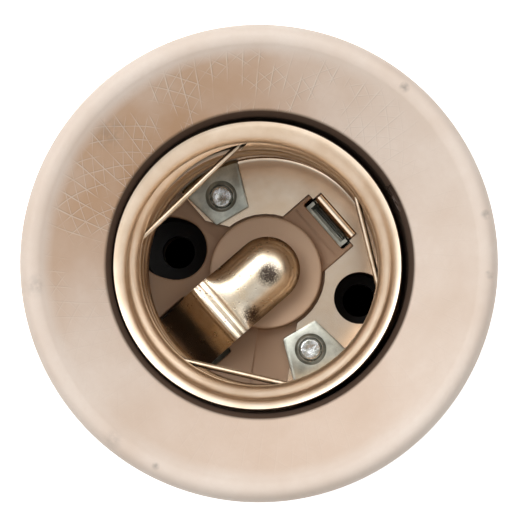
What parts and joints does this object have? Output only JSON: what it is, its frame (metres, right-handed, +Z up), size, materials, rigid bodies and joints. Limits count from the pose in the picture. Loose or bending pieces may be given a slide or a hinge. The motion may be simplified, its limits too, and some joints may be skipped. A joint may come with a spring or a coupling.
{
  "type": "porcelain lamp holder",
  "caption": "Round porcelain lamp holder with a flared mouth, a rolled metal screw shell, a sprung centre contact, a wire that locks the lamp, and screw terminals in the base.",
  "frame": {"origin": "centre of the base's underside, on the axis of the screw shell", "axes": "+Z up along the shell's axis, out of the mouth; +X towards the side where the shell's tab goes down, -X towards the centre contact's leg"},
  "size_m": [0.0684, 0.0684, 0.071],
  "materials": {
    "porcelain": "bare fired porcelain, pale and warm, faintly crazed on the upper cone",
    "shell_plating": "nickel-plated copper sheet, warm and satin",
    "contact_plating": "nickel-plated brass strip, polished",
    "spring_wire": "drawn steel wire",
    "spring_steel": "spring steel, plain",
    "zinc_plating": "zinc-plated steel, grey with a green cast"
  },
  "bodies": {
    "holder": {"porcelain_body": "porcelain", "threaded_shell": "shell_plating", "lamp_lock_spring": "spring_wire", "shell_nut_plate_a": "zinc_plating", "shell_nut_plate_b": "zinc_plating", "shell_screw_a": "zinc_plating", "shell_screw_b": "zinc_plating", "shell_terminal_plate": "zinc_plating"},
    "contact": {"centre_contact": "contact_plating", "contact_backing_leaf": "spring_steel", "contact_terminal_plate": "zinc_plating"},
    "contact_clamp": {"contact_wire_saddle": "zinc_plating", "contact_terminal_washer": "spring_steel"},
    "contact_clamp_screw": {"contact_terminal_screw": "zinc_plating"},
    "shell_clamp": {"shell_wire_saddle": "zinc_plating", "shell_terminal_washer": "spring_steel"},
    "shell_clamp_screw": {"shell_terminal_screw": "zinc_plating"}
  },
  "joints": [
    {"name": "contact_press", "type": "hinge", "parent": "holder", "child": "contact", "pos_m": [-0.0189, 0, 0.019], "axis": [0, 1, 0], "range_deg": [0, 4.8], "stiffness_Nm_per_rad": 2.5, "springref_deg": -2.29},
    {"name": "contact_clamp_slide", "type": "slide", "parent": "contact", "child": "contact_clamp", "axis": [0, 0, -1], "range_m": [0, 0.0025]},
    {"name": "contact_screw_turn", "type": "hinge", "parent": "contact_clamp", "child": "contact_clamp_screw", "pos_m": [-0.015, 0, 0.008], "axis": [0, 0, -1], "range_deg": [0, 1286]},
    {"name": "shell_clamp_slide", "type": "slide", "parent": "holder", "child": "shell_clamp", "axis": [0, 0, -1], "range_m": [0, 0.0025]},
    {"name": "shell_screw_turn", "type": "hinge", "parent": "shell_clamp", "child": "shell_clamp_screw", "pos_m": [0.017, -0.00045, 0.008], "axis": [0, 0, -1], "range_deg": [0, 1286]}
  ],
  "couplings": [
    {"joint": "contact_screw_turn", "follows": "contact_clamp_slide", "rad_per_m": 8976},
    {"joint": "shell_screw_turn", "follows": "shell_clamp_slide", "rad_per_m": 8976}
  ]
}
